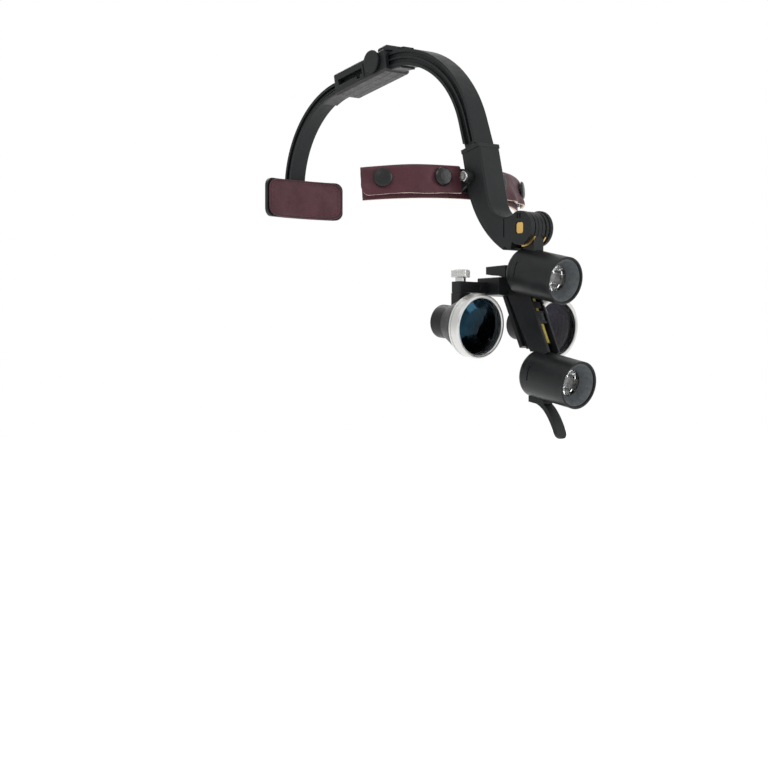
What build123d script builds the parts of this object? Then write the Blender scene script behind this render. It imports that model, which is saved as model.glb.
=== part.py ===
from build123d import *
import os
from math import cos, degrees, pi, radians, sin, sqrt, tan

# Head-worn binocular magnifier with two lamps, in millimetres.
# Frame: +Z up, the wearer looks along -Y, the wearer's right is -X.
# Origin: centre of the forehead pad's face that touches the head.
# Side-view points are written as (y, z).

# ---------------------------------------------------------------- driving dimensions
RUN = 0.05              # radial clearance of a shaft or slider in its guide
GAP = 0.3               # gap between neighbours that move past each other

# strap over the head
STRAP_SLOPE = 11.0      # fall of the strap towards the back, at the adjuster
FRONT_LEAN = 18.0       # lean of the front arch's foot from the vertical
FRONT_ARC_Y = 57.15
FRONT_ARC_Z = 19.2
FRONT_ARC_R = 62.4      # to the middle of the strap's depth
FRONT_DEPTH = 9.6
FRONT_WIDTH = 12.0
FLARE_LOW = 24.6
FLARE_HIGH = 66.0
FRONT_FOOT = 28.0       # straight foot, half of it in the bracket
FRONT_TANG = 9.2        # straight tang in the adjuster
REAR_ARC_R = 60.7
REAR_DEPTH = 6.6
REAR_WIDTH = 11.0
REAR_END_ANGLE = -6.0   # lower end of the rear arch, from the arc's level radius
FLANGE = 1.7            # thickness of the strap's edge flanges
GROOVE = 2.6            # depth of the grooves in the strap's sides
RIB_REACH = 0.9         # how far the rib in each groove stays below the flanges
FLARE = 1.2             # extra half width of the front arch just above the bracket

# adjuster
HOUSING_LENGTH = 49.0
HOUSING_WIDTH = 18.0
HOUSING_HEIGHT = 13.6
CROWN = 2.6             # rise of the rounded crown over the housing's mouth
HOUSING_LEAD = 4.5      # how far the housing reaches over the front arc
COVER_THICKNESS = 1.75
TONGUE_THICKNESS = 1.0
TONGUE_LENGTH = 14.0
REAR_ARC_START = 52.3   # where the rear strap starts to curve, from the housing's front
TANG_FRONT = 14.2       # front end of the rear strap's tang, from the housing's front
STRAP_TRAVEL = 13.5
RACK_PITCH = 2.5
RACK_TOOTH = 1.0
LATCH_TRAVEL = 1.0
LATCH_Y = 10.6
LATCH_Z = 2.2
LATCH_R = 6.75
LATCH_HEAD = 1.2
TANG_PIN_Y = 9.0
TANG_PIN_R = 1.2
TANG_PIN_HEAD_R = 2.5
COVER_SCREW_R = 0.74
COVER_SCREW_HEAD_R = 1.25
COVER_SCREWS = [(x, y) for y in (4.0, 44.0) for x in (1.6 - HOUSING_WIDTH / 2, HOUSING_WIDTH / 2 - 1.6)]

# front bracket
BRACKET_HALF = 8.0
BACK_ARC_Y = -64.5
BACK_ARC_Z = 15.7
BACK_ARC_R = 60.4
BACK_PLATE = 2.0
NOSE_R = 9.3
FAR_EAR_X = 6.2
FOOT_SCREW = (-10.6, 15.0)
FOOT_SCREW_R = 1.3
FOOT_SCREW_HEAD_R = 2.2

# main tilt pivot
PIVOT_Y = -48.0
PIVOT_Z = -25.7
AXLE_R = 2.5
AXLE_SQUARE = 5.8
WASHER = 0.8
WASHER_R = 8.0
WASHER_TAB_R = 10.2     # radius of the lock tab at the bottom of each washer
AXLE_TALL = 6.8
EYE_R = 9.1
EYE_X0 = -4.1
EYE_X1 = 3.1
KNOB_R = 9.9
KNOB_WIDTH = 2.8

# forehead pad
PAD_R = 83.0            # face against the head
PAD_ANGLE = 45.5
PAD_PITCH = 5.5         # lean of the pad's face, to lie on the forehead
PAD_LOW = -6.5          # lower and upper edges, in the pad's own frame
PAD_TOP = 12.1
LEATHER = 1.5
BAND = 1.3
LEATHER_BACK = PAD_R + LEATHER
BAND_OUT = LEATHER_BACK + BAND
FLAP_OUT = BAND_OUT + 1.8
FLAP_LOW = -4.0
FLAP_GATE = 10.4        # half width of the opening in the flap, behind the bracket
SNAP_R = 5.3
SNAP_DOME = 1.9
SNAP_ANGLES = (-37.4, -14.6, 14.6, 37.4)
SNAP_Z = 5.0
BAND_PIVOT_Y = -9.2
BAND_PIVOT_Z = 5.3
BAND_SCREW_R = 1.6
LUG_R = 3.6
LUG_WIDTH = 1.6
LUG_BOSS = 2.8          # length of the round boss on each lug, under the screw's head

# rear pad
REAR_PAD_HALF = 30.0
REAR_PAD_R = 100.0
REAR_PAD_LOW = -6.0
REAR_PAD_HIGH = 18.0
REAR_CARRIER = 2.4
REAR_CUSHION = 3.2
REAR_SCREW_R = 1.6

# lamps
LAMP_R = 13.0
LAMP_LENGTH = 34.5
LAMP_TILT = 12.0
LAMP_WALL = 1.5
CAP_LENGTH = 5.0
RIM_LENGTH = 1.2
LENS_R = 7.35
LENS_DEPTH = 7.6        # lens face behind the rim
UPPER_LAMP = (-41.8, -48.5)
LOWER_LAMP = (-51.8, -104.7)

# carrier bar between the lamps
BAR_TILT = 25.0
BAR_HALF = 4.7
BAR_DEPTH = 16.1
BAR_BACK_LOW = 4.2      # how far the bar's back face tapers in at the bottom
BAR_RAIL = 2.0          # half width of the rail that the slide plate runs on
BAR_LENGTH = 44.0
BAR_BACK_TOP = (-33.9, -60.7)
CHANNEL_HALF = 3.2
CHANNEL_DEPTH = 8.6
CHANNEL_END = 46.0      # bottom of the channel, down the bar
# places in the bar's frame: y from its back face, z up from its back top corner
SCREW_Y = -13.2
HEIGHT_SCREW_R = 1.5
HEIGHT_SCREW_TOP = -10.6
HEIGHT_SCREW_END = -37.6
HEIGHT_WHEEL_R = 2.95
HEIGHT_WHEEL = 4.6
WHEEL_Z = -24.7
SHELF = 1.4             # thickness of the wheel's two bearing shelves
NUT_HALF = 2.2
NUT_LOW = -16.9
NUT_HIGH = -13.3
NUT_UP = 2.4            # travel of the slide up the bar
NUT_DOWN = 1.2
NUT_FRONT = SCREW_Y - 2.3
STEM_HALF = 1.5
BAR_SCREW_Z = -14.9

# loupe slide
SLIDE_GAP = 0.9
SLIDE_THICKNESS = 2.3
SLIDE_HALF = 4.4
SLIDE_END = -32.2       # lower end of the slide plate, in the bar's frame
TAB_REAR = -17.1
BLOCK_HALF = 12.0
BLOCK_REAR = -19.0
CHEEK_FRONT = -36.0
ARM_Y0 = -27.2
ARM_Y1 = -20.2
ARM_Z0 = -61.0
ARM_Z1 = -54.9
ARM_END = 33.0
ARM_INNER = 2.4
LOUPE_X = 29.0
CARRIAGE_HALF = 4.2
THUMB_Y = -23.6
THUMB_R = 5.15
THUMB_HEAD = 4.2
THUMB_NECK_R = 2.9
THUMB_NECK = 2.2

# loupes
LOUPE_TILT = 7.0
LOUPE_TOE_IN = 0.0
LOUPE_FRONT = (-40.2, -80.0)
RING_R = 17.5
RING_LENGTH = 7.0
RING_BORE = 15.4
BARREL_LENGTH = 32.0
EYEPIECE_R = 9.25
EYEPIECE_LENGTH = 10.0
BARREL_WALL = 1.4

# lever under the lower lamp
LEVER_HALF = 3.5
LEVER_THICKNESS = 2.6
LEVER_PATH = [(-52.4, -119.2), (-60.5, -122.4), (-66.3, -128.4), (-70.2, -135.2), (-72.0, -140.6)]


# ---------------------------------------------------------------- helpers
def write(shape, name):
    """Export one piece as its own STEP file."""
    os.makedirs("parts", exist_ok=True)
    export_step(shape, "parts/" + name + ".step")


def slab(profile, x0, x1):
    """Solid of a side-view (y, z) face between two X stations."""
    return Pos(x0, 0, 0) * extrude(Plane.YZ * profile, amount=x1 - x0)


def rod(radius, x0, x1, y, z):
    """Cylinder along X."""
    bar = Cylinder(radius, x1 - x0, align=(Align.CENTER, Align.CENTER, Align.MIN))
    return Pos(x0, y, z) * Rot(0, 90, 0) * bar


def post(radius, height, z=0.0):
    """Cylinder along local Z, from height z upwards."""
    return Pos(0, 0, z) * Cylinder(radius, height, align=(Align.CENTER, Align.CENTER, Align.MIN))


def block(x0, x1, y0, y1, z0, z1):
    """Box between two corners."""
    return Pos((x0 + x1) / 2, (y0 + y1) / 2, (z0 + z1) / 2) * Box(x1 - x0, y1 - y0, z1 - z0)


def turned(*points):
    """Solid of revolution about local Z from (radius, height) corners."""
    return revolve(Plane.XZ * make_face(Polyline(*points, close=True)), Axis.Z)


def arc_band(centre, inner, outer, a0, a1, lead=0.0, tail=0.0):
    """Side-view face between two arcs about one centre, with straight tangent ends.

    Angles are measured from +Y towards +Z. The band runs from a0 down to a1; lead and
    tail are the lengths of its straight ends."""

    def on(radius, angle):
        a = radians(angle)
        return Vector(centre[0] + radius * cos(a), centre[1] + radius * sin(a))

    def tangent(angle):
        a = radians(angle)
        return Vector(sin(a), -cos(a))

    start = tangent(a0) * -lead
    end = tangent(a1) * tail
    middle = (a0 + a1) / 2
    outline = [
        ThreePointArc(on(outer, a0), on(outer, middle), on(outer, a1)),
        ThreePointArc(on(inner, a1), on(inner, middle), on(inner, a0)),
    ]
    if tail > 0:
        outline.append(Line(on(outer, a1), on(outer, a1) + end))
        outline.append(Line(on(inner, a1), on(inner, a1) + end))
    if lead > 0:
        outline.append(Line(on(outer, a0), on(outer, a0) + start))
        outline.append(Line(on(inner, a0), on(inner, a0) + start))
    outline.append(Line(on(outer, a1) + end, on(inner, a1) + end))
    outline.append(Line(on(outer, a0) + start, on(inner, a0) + start))
    return make_face(outline)


def ring_sector(inner, outer, angle, z0, z1, centre_y, facing):
    """Upright curved strip about a vertical axis; facing is -1 to the front, 1 to the back."""
    strip = post(outer, z1 - z0, z0) - post(inner, z1 - z0 + 2, z0 - 1)
    reach = 2 * outer
    a = radians(angle)
    wedge = make_face(Polyline((0, 0), (-reach * sin(a), facing * reach * cos(a)),
                               (0, facing * 3 * reach), (reach * sin(a), facing * reach * cos(a)),
                               close=True))
    return Pos(0, centre_y, 0) * (strip & Pos(0, 0, z0 - 1) * extrude(wedge, amount=z1 - z0 + 2))


def keep_largest(shape):
    """The largest solid of a shape, as one piece."""
    return max(shape.solids(), key=lambda s: s.volume)


# ---------------------------------------------------------------- frames
FRONT_CENTRE = (FRONT_ARC_Y, FRONT_ARC_Z)
SLOPE = radians(STRAP_SLOPE)
ALONG = (cos(SLOPE), -sin(SLOPE))               # along the strap at the adjuster, to the back
ABOVE = (sin(SLOPE), cos(SLOPE))
ARC_END_ANGLE = 90 - STRAP_SLOPE
ARC_END = (FRONT_ARC_Y + FRONT_ARC_R * ABOVE[0], FRONT_ARC_Z + FRONT_ARC_R * ABOVE[1])
ADJUSTER = Plane(
    origin=(0, ARC_END[0] - HOUSING_LEAD * ALONG[0], ARC_END[1] - HOUSING_LEAD * ALONG[1]),
    x_dir=(1, 0, 0), z_dir=(0, ABOVE[0], ABOVE[1]))
REAR_START = (ADJUSTER.origin.Y + REAR_ARC_START * ALONG[0],
              ADJUSTER.origin.Z + REAR_ARC_START * ALONG[1])
REAR_CENTRE = (REAR_START[0] - REAR_ARC_R * ABOVE[0], REAR_START[1] - REAR_ARC_R * ABOVE[1])

PAD = Plane(origin=(0, 0, 0), x_dir=(1, 0, 0),
            z_dir=(0, sin(radians(PAD_PITCH)), cos(radians(PAD_PITCH))))
# the band's pivot, in the pad's frame
PAD_PIVOT = (BAND_PIVOT_Y * cos(radians(PAD_PITCH)) - BAND_PIVOT_Z * sin(radians(PAD_PITCH)),
             BAND_PIVOT_Y * sin(radians(PAD_PITCH)) + BAND_PIVOT_Z * cos(radians(PAD_PITCH)))

TILT = radians(BAR_TILT)
BAR_DOWN = (-sin(TILT), -cos(TILT))             # down the carrier bar, in (y, z)
BAR = Plane(origin=(0, BAR_BACK_TOP[0], BAR_BACK_TOP[1]),
            x_dir=(1, 0, 0), z_dir=(0, -BAR_DOWN[0], -BAR_DOWN[1]))


def lamp_plane(rear):
    """Lamp frame: origin at the rear centre, local Z forward along the beam."""
    a = radians(LAMP_TILT)
    return Plane(origin=(0, rear[0], rear[1]), x_dir=(1, 0, 0), z_dir=(0, -cos(a), -sin(a)))


def loupe_plane(side):
    """Loupe frame: origin at the ring's front centre, local Z forward along the sight."""
    tilt = radians(LOUPE_TILT)
    toe = radians(LOUPE_TOE_IN)
    forward = (-side * sin(toe) * cos(tilt), -cos(toe) * cos(tilt), -sin(tilt))
    reach = THUMB_Y - LOUPE_FRONT[0]
    x = side * (LOUPE_X - reach * tan(toe))
    return Plane(origin=(x, LOUPE_FRONT[0], LOUPE_FRONT[1]),
                 x_dir=(cos(toe), -side * sin(toe), 0), z_dir=forward)


# ---------------------------------------------------------------- strap over the head
def strap(centre, radius, depth, width, a0, a1, lead, tail):
    """Strap with edge flanges, side grooves and a rib along the middle of each groove."""
    half = width / 2
    inner = radius - depth / 2
    outer = radius + depth / 2

    def layer(r0, r1, reach):
        return slab(arc_band(centre, r0, r1, a0, a1, lead, tail), -reach, reach)

    body = layer(inner, outer, half - GROOVE)
    body += layer(inner, inner + FLANGE, half)
    body += layer(outer - FLANGE, outer, half)
    body += layer(radius - 0.5, radius + 0.5, half - RIB_REACH)
    return body


def foot_solid():
    """Plain foot of the front arch, which fills its socket in the bracket."""
    lean = radians(FRONT_LEAN)
    start = (FRONT_ARC_Y - FRONT_ARC_R * cos(lean), FRONT_ARC_Z + FRONT_ARC_R * sin(lean))
    plane = Plane(origin=(0, start[0], start[1]), x_dir=(1, 0, 0), z_dir=(0, sin(lean), cos(lean)))
    half = FRONT_WIDTH / 2
    deep = FRONT_DEPTH / 2
    return plane * block(-half, half, -deep, deep, -FRONT_FOOT, -FRONT_FOOT + 14)


def front_arch():
    a0 = 180 - FRONT_LEAN
    arch = strap(FRONT_CENTRE, FRONT_ARC_R, FRONT_DEPTH, FRONT_WIDTH + 2 * FLARE, a0, ARC_END_ANGLE,
                 FRONT_FOOT, FRONT_TANG)
    half = FRONT_WIDTH / 2
    wide = half + FLARE
    side = Polyline((-half, -40), (-half, FLARE_LOW), (-wide, FLARE_LOW), (-half, FLARE_HIGH), (-half, 120),
                    (half, 120), (half, FLARE_HIGH), (wide, FLARE_LOW), (half, FLARE_LOW), (half, -40),
                    close=True)
    arch &= Pos(0, 150, 0) * extrude(Plane.XZ * make_face(side), amount=300)
    arch += foot_solid()
    outer = FRONT_ARC_R + FRONT_DEPTH / 2
    lug = arc_band(FRONT_CENTRE, outer - 1, outer + 1.8, 93, 89)
    arch += slab(lug, -4, 4)
    arch -= foot_screw_hole()
    arch -= ADJUSTER * Pos(0, TANG_PIN_Y, 0) * post(TANG_PIN_R + RUN, 12, -1)
    return keep_largest(arch)


def rear_arch():
    tail = strap(REAR_CENTRE, REAR_ARC_R, REAR_DEPTH, REAR_WIDTH, ARC_END_ANGLE,
                 REAR_END_ANGLE, 0, 0)
    half = REAR_WIDTH / 2
    deep = REAR_DEPTH / 2
    tang = block(-half, half, TANG_FRONT, REAR_ARC_START, -deep, deep)
    slot_start = TANG_FRONT + 2.8
    slot_end = REAR_ARC_START - 4
    tang -= block(-2.5, 4.0, slot_start, slot_end, -deep - 1, deep + 1)
    count = int((slot_end - slot_start - 2) / RACK_PITCH)
    tooth_gap = make_face(Polyline((-2.4, 0), (-2.4, RACK_PITCH - 0.5), (-2.5 - RACK_TOOTH, 0.6),
                                   (-2.5 - RACK_TOOTH, 0), close=True))
    for n in range(count):
        y = slot_start + 1 + n * RACK_PITCH
        tang -= Pos(0, y, -deep - 1) * extrude(tooth_gap, amount=REAR_DEPTH + 2)
    for n in range(count):
        y = slot_start + 1 + n * RACK_PITCH
        tang -= block(-half - 1, -half + 0.35, y, y + 1.1, -1.6, 1.6)
    arch = tail + ADJUSTER * tang
    pin = rear_pivot()
    eye = rod(REAR_DEPTH / 2 + 0.9, -half, half, pin[0], pin[1])
    arch += eye
    arch -= rod(REAR_SCREW_R + RUN, -half - 1, half + 1, pin[0], pin[1])
    return keep_largest(arch)


def rear_pivot():
    """Side-view place of the rear pad's pivot, in the rear arch's lower end."""
    a = radians(REAR_END_ANGLE + 4)
    return (REAR_CENTRE[0] + REAR_ARC_R * cos(a), REAR_CENTRE[1] + REAR_ARC_R * sin(a))


# ---------------------------------------------------------------- adjuster
def adjuster_housing():
    half = HOUSING_WIDTH / 2
    top = HOUSING_HEIGHT / 2
    floor = -top + COVER_THICKNESS
    body = block(-half, half, 0, HOUSING_LENGTH, floor, top)
    ends = body.edges().filter_by(Axis.Z)
    body = fillet(ends, 0.8)
    body = chamfer(body.edges().group_by(Axis.Z)[-1].filter_by(Axis.Y), 0.7)
    crown = block(-half + 1.0, half - 1.0, -1.6, 6.4, top - 1, top + CROWN)
    body += fillet(crown.edges().group_by(Axis.Z)[-1], 1.6)
    front_half = FRONT_WIDTH / 2 + RUN
    front_top = FRONT_DEPTH / 2 + RUN
    rear_half = REAR_WIDTH / 2 + RUN
    rear_top = REAR_DEPTH / 2 + RUN
    body -= block(-front_half, front_half, -1, TANG_FRONT - 0.2, floor - 1, front_top)
    body -= block(-rear_half, rear_half, TANG_FRONT - 0.3, HOUSING_LENGTH + 1, floor - 1, rear_top)
    body -= latch_room(GAP)
    # window beside the button, with the notch at its front end
    body -= block(-half - 1, -rear_half + 0.5, 22, 45, -1.3, 2.3)
    body -= block(-half - 1, -rear_half + 0.5, 24.5, 27.5, -3.1, 2.3)
    # raised frame round the button and the window
    body += block(-half - 0.5, -half, 20.2, 21.2, -3.6, 4.4)
    body -= Pos(0, TANG_PIN_Y, 0) * post(TANG_PIN_R + RUN, 12, 0)
    body -= Pos(0, TANG_PIN_Y, 0) * post(TANG_PIN_HEAD_R + RUN, 6, top - 1.7)
    for x, y in COVER_SCREWS:
        body -= Pos(x, y, 0) * post(COVER_SCREW_R + 0.01, 6, floor - 1)
    return ADJUSTER * keep_largest(body)


def latch_room(gap):
    """Space in the housing that the latch's stem and plate slide in."""
    low = REAR_DEPTH / 2 + RUN - 0.05
    room = block(-HOUSING_WIDTH / 2 - 1, 4.2 + LATCH_TRAVEL, 14.4 - gap, 17.4 + gap, low, 5.2)
    room += block(-2.0 - gap, 3.0 + LATCH_TRAVEL + gap, 14.4 - gap, 34.2 + gap, low, 5.2)
    return room


def adjuster_button():
    """Round press button with a stem and a plate that carries the pawl over the rack."""
    half = HOUSING_WIDTH / 2
    head = rod(LATCH_R, -half - 0.15 - LATCH_HEAD - LATCH_TRAVEL, -half - 0.15 - LATCH_TRAVEL,
               LATCH_Y, LATCH_Z)
    head = fillet(head.edges().group_by(Axis.X)[0], 0.6)
    low = REAR_DEPTH / 2 + 0.25
    high = 4.95
    stem = block(-half - 0.2 - LATCH_TRAVEL, 2.4, 14.6, 17.2, low, high)
    plate = block(-2.0, 2.4, 14.6, 34.0, low, high)
    pawl = block(-2.2, -0.4, 31.2, 33.6, -2.0, low + 0.5)
    return ADJUSTER * (head + stem + plate + pawl)


def adjuster_cover():
    """Bottom cover with a rail under the moving strap and a tongue at each end."""
    half = HOUSING_WIDTH / 2
    low = -HOUSING_HEIGHT / 2
    high = low + COVER_THICKNESS
    plate = block(-half, half, 0, HOUSING_LENGTH, low, high)
    plate = chamfer(plate.edges().group_by(Axis.Z)[0].filter_by(Axis.X), 1.2)
    plate = chamfer(plate.edges().group_by(Axis.Z)[0].filter_by(Axis.Y), 0.5)
    rail_half = REAR_WIDTH / 2 - 0.2
    plate += block(-rail_half, rail_half, TANG_FRONT, HOUSING_LENGTH, high, -REAR_DEPTH / 2 - RUN)
    for x in (-3.4, 3.4):
        plate -= block(x - 0.15, x + 0.15, 2, HOUSING_LENGTH - 2.5, low - 1, low + 0.2)
    for x, y in COVER_SCREWS:
        plate -= Pos(x, y, 0) * post(COVER_SCREW_R + RUN, 4, low - 1)
        plate -= Pos(x, y, 0) * post(COVER_SCREW_HEAD_R + RUN, 1.6, low - 1)
    cover = ADJUSTER * plate
    front_outer = FRONT_ARC_R - FRONT_DEPTH / 2 - 0.1
    sweep_front = degrees(TONGUE_LENGTH / front_outer)
    front = arc_band(FRONT_CENTRE, front_outer - TONGUE_THICKNESS, front_outer,
                     ARC_END_ANGLE + sweep_front, ARC_END_ANGLE, 0, 1.5)
    rear_outer = REAR_ARC_R - REAR_DEPTH / 2 - 0.15
    sweep_rear = degrees(TONGUE_LENGTH / rear_outer)
    rear = arc_band(REAR_CENTRE, rear_outer - TONGUE_THICKNESS, rear_outer,
                    ARC_END_ANGLE, ARC_END_ANGLE - sweep_rear, REAR_ARC_START - HOUSING_LENGTH + 3, 0)
    cover += slab(front, -5.5, 5.5)
    cover += slab(rear, -5.5, 5.5)
    return keep_largest(cover)


def cover_screws():
    """Four small screws from below and one that pins the front arch's tang from above."""
    low = -HOUSING_HEIGHT / 2
    small = post(COVER_SCREW_HEAD_R, 0.5, low + 0.05) + post(COVER_SCREW_R, 4.2, low + 0.5)
    small -= Pos(0, 0, low + 0.05) * block(-1.3, 1.3, -0.2, 0.2, -0.1, 0.25)
    screws = [ADJUSTER * Pos(x, y, 0) * small for x, y in COVER_SCREWS]
    top = HOUSING_HEIGHT / 2
    pin = post(TANG_PIN_R, top - 0.6, -0.8) + post(TANG_PIN_HEAD_R, 1.2, top - 1.7)
    pin -= post(1.0, 1, top - 1.0)
    screws.append(ADJUSTER * Pos(0, TANG_PIN_Y, 0) * pin)
    return Compound(children=screws)


# ---------------------------------------------------------------- front bracket
def bracket_profile():
    """Side view of the bracket without its nose."""
    top_front = (-14.7, 24.1)
    back = BACK_ARC_R

    def on_back(angle):
        a = radians(angle)
        return (BACK_ARC_Y + back * cos(a), BACK_ARC_Z + back * sin(a))

    low = on_back(-61.0)
    high = on_back(-8.4)
    edges = [
        Line((-1.5, 20.9), high),
        ThreePointArc(high, on_back(-34.7), low),
        Line(low, (-41.2, -37.4)),
        Line((-41.2, -37.4), (-42.0, -33.0)),
        Line((-42.0, -33.0), (PIVOT_Y, PIVOT_Z)),
        Line((PIVOT_Y, PIVOT_Z), (-45.5, -18.8)),
        Line((-45.5, -18.8), (-40.5, -18.4)),
        TangentArc((-23.2, -8.7), (-40.5, -18.4), tangent=(-7.0, -29.3)),
        Line((-23.2, -8.7), (-16.2, 20.6)),
        Line((-16.2, 20.6), top_front),
        Line(top_front, (-1.5, 20.9)),
    ]
    return make_face(edges)


def back_plate_face(inner, outer, a0, a1):
    return arc_band((BACK_ARC_Y, BACK_ARC_Z), inner, outer, a0, a1)


def side_screw(shank, head, outer):
    """Screw through the bracket's left side into the arch's foot, its head out to one X."""
    return rod(shank, 2.0, 6.6, *FOOT_SCREW) + rod(head, 6.5, outer, *FOOT_SCREW)


def foot_screw():
    screw = side_screw(FOOT_SCREW_R, FOOT_SCREW_HEAD_R, 7.3)
    return screw - rod(0.9, 6.8, 8, *FOOT_SCREW)


def foot_screw_hole():
    return side_screw(FOOT_SCREW_R + RUN, FOOT_SCREW_HEAD_R + RUN, BRACKET_HALF + 1)


def bracket_shell():
    half = BRACKET_HALF
    body = slab(bracket_profile(), -half, half)
    round_over = [e for e in body.edges() if abs(abs(e.center().X) - half) < 0.01
                  and e.center().Y < -17 and -18 < e.center().Z < 16]
    body = fillet(round_over, 1.4)
    nose = rod(NOSE_R, -half, half, PIVOT_Y, PIVOT_Z)
    # collar round the strap's socket
    lean = radians(13.6)
    collar_plane = Plane(origin=(0, -8.1, 22.6), x_dir=(1, 0, 0), z_dir=(0, sin(lean), cos(lean)))
    collar = block(-half - 0.4, half + 0.4, -7.3, 7.3, -2.2, 0)
    body += collar_plane * fillet(collar.edges().filter_by(Axis.Z), 0.5)
    body += nose
    # the far side of the nose is cut back for the knob
    body -= rod(12.5, FAR_EAR_X, half + 1, PIVOT_Y, PIVOT_Z)
    # fork for the carrier's eye and its two washers
    fork0 = EYE_X0 - WASHER - 2 * RUN
    fork1 = EYE_X1 + WASHER + 2 * RUN
    body -= rod(WASHER_TAB_R + 0.45, fork0, fork1, PIVOT_Y, PIVOT_Z)
    body -= block(fork0, fork1, PIVOT_Y - 12, PIVOT_Y + WASHER_TAB_R + 0.45, -40, PIVOT_Z)
    # seat of the axle and its square end
    body -= rod(AXLE_R + RUN, -half - 1, half + 1, PIVOT_Y, PIVOT_Z)
    body -= axle_head(-half - 1, -5.9, RUN)
    # groove and notches in the near side
    body -= block(-half - 1, -half + 0.7, -36.4, -35.4, -30.3, -18.5 - 1.5)
    for y in (-46.6, -48.6):
        body -= block(-half - 1, -half + 0.6, y - 0.7, y + 0.7, -20.4, -17.6)
    # socket of the arch's foot, hollow below it, and the rebate of the back plate
    body -= foot_solid()
    body -= foot_screw_hole()
    body -= slab(back_plate_face(50.5, BACK_ARC_R - BACK_PLATE + 1, -15, -50), -6, 6)
    body -= slab(back_plate_face(BACK_ARC_R - BACK_PLATE, BACK_ARC_R + 3, -14, -64), -half - 1, half + 1)
    body -= rod(BAND_SCREW_R + RUN, -half - 1, -3.5, BAND_PIVOT_Y, BAND_PIVOT_Z)
    body -= rod(BAND_SCREW_R + RUN, 3.5, half + 1, BAND_PIVOT_Y, BAND_PIVOT_Z)
    return keep_largest(body)


def bracket_back_plate():
    outer = BACK_ARC_R
    inner = BACK_ARC_R - BACK_PLATE
    plate = slab(back_plate_face(inner, outer, -14, -61), -BRACKET_HALF, BRACKET_HALF)
    plate += slab(back_plate_face(inner - 1.5, inner, -15.2, -49.8), -5.9, -4.4)
    plate += slab(back_plate_face(inner - 1.5, inner, -15.2, -49.8), 4.4, 5.9)
    return keep_largest(plate)


# ---------------------------------------------------------------- main tilt pivot
def axle_head(x0, x1, grow):
    """Rounded rectangle of the axle's keyed end."""
    outline = Pos(PIVOT_Y, PIVOT_Z) * RectangleRounded(AXLE_SQUARE + 2 * grow, AXLE_TALL + 2 * grow, 1.9)
    return slab(outline, x0, x1)


def pivot_axle():
    """Brass axle: square end held in the near ear, shaft through the stack, threaded tip."""
    head = axle_head(-7.6, -5.95, 0)
    head = chamfer(head.edges().group_by(Axis.X)[0], 0.4)
    return head + rod(AXLE_R, -6.2, FAR_EAR_X + 2.0, PIVOT_Y, PIVOT_Z)


def brass_washers():
    rings = []
    for x in (EYE_X0 - WASHER - RUN, EYE_X1 + RUN):
        ring = rod(WASHER_R, x, x + WASHER, PIVOT_Y, PIVOT_Z)
        tab = rod(WASHER_TAB_R, x, x + WASHER, PIVOT_Y, PIVOT_Z)
        ring += tab & slab(make_face(Polyline((PIVOT_Y, PIVOT_Z), (PIVOT_Y - 15, PIVOT_Z - 9),
                                              (PIVOT_Y - 8, PIVOT_Z - 16), (PIVOT_Y + 2, PIVOT_Z - 16),
                                              close=True)), x, x + WASHER)
        ring -= rod(AXLE_R + RUN, x - 1, x + WASHER + 1, PIVOT_Y, PIVOT_Z)
        rings.append(ring)
    return Compound(children=rings)


def pivot_knob():
    x0 = FAR_EAR_X + 0.1
    x1 = x0 + KNOB_WIDTH
    knob = rod(KNOB_R, x0, x1, PIVOT_Y, PIVOT_Z)
    knob = fillet(knob.edges().group_by(Axis.X)[-1], 1.2)
    for n in range(24):
        a = 2 * pi * n / 24
        knob -= rod(0.35, x0 - 1, x1 + 1, PIVOT_Y + KNOB_R * cos(a), PIVOT_Z + KNOB_R * sin(a))
    knob -= rod(4.0, x0 - 1, x1 - 0.8, PIVOT_Y, PIVOT_Z)
    return keep_largest(knob)


def knob_nut():
    x0 = FAR_EAR_X + 0.1
    nut = rod(4.0, x0, x0 + KNOB_WIDTH - 0.8, PIVOT_Y, PIVOT_Z)
    nut -= rod(AXLE_R + RUN, x0 - 1, x0 + KNOB_WIDTH, PIVOT_Y, PIVOT_Z)
    return nut


# ---------------------------------------------------------------- carrier: arm, bar, lamps
def lamp_skin(rear, grow=0.0):
    """Outer form of one lamp, for cutting saddles that fit it."""
    return lamp_plane(rear) * post(LAMP_R + grow, LAMP_LENGTH + 2, -1)


def carrier_arm():
    """Drum on the pivot axle with a short neck and saddle on the upper lamp."""
    eye = rod(EYE_R, EYE_X0, EYE_X1, PIVOT_Y, PIVOT_Z)
    for x in (EYE_X0 + 2.2, EYE_X1 - 2.2):
        ring = rod(EYE_R + 1, x - 0.25, x + 0.25, PIVOT_Y, PIVOT_Z)
        eye -= ring - rod(EYE_R - 0.4, x - 1, x + 1, PIVOT_Y, PIVOT_Z)
    neck = block(EYE_X0, EYE_X1, PIVOT_Y - 7.5, PIVOT_Y + 1.2, -42, PIVOT_Z - 4)
    arm = eye + neck
    arm -= rod(AXLE_R + RUN, EYE_X0 - 1, EYE_X1 + 1, PIVOT_Y, PIVOT_Z)
    arm -= lamp_skin(UPPER_LAMP)
    return keep_largest(arm)


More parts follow.
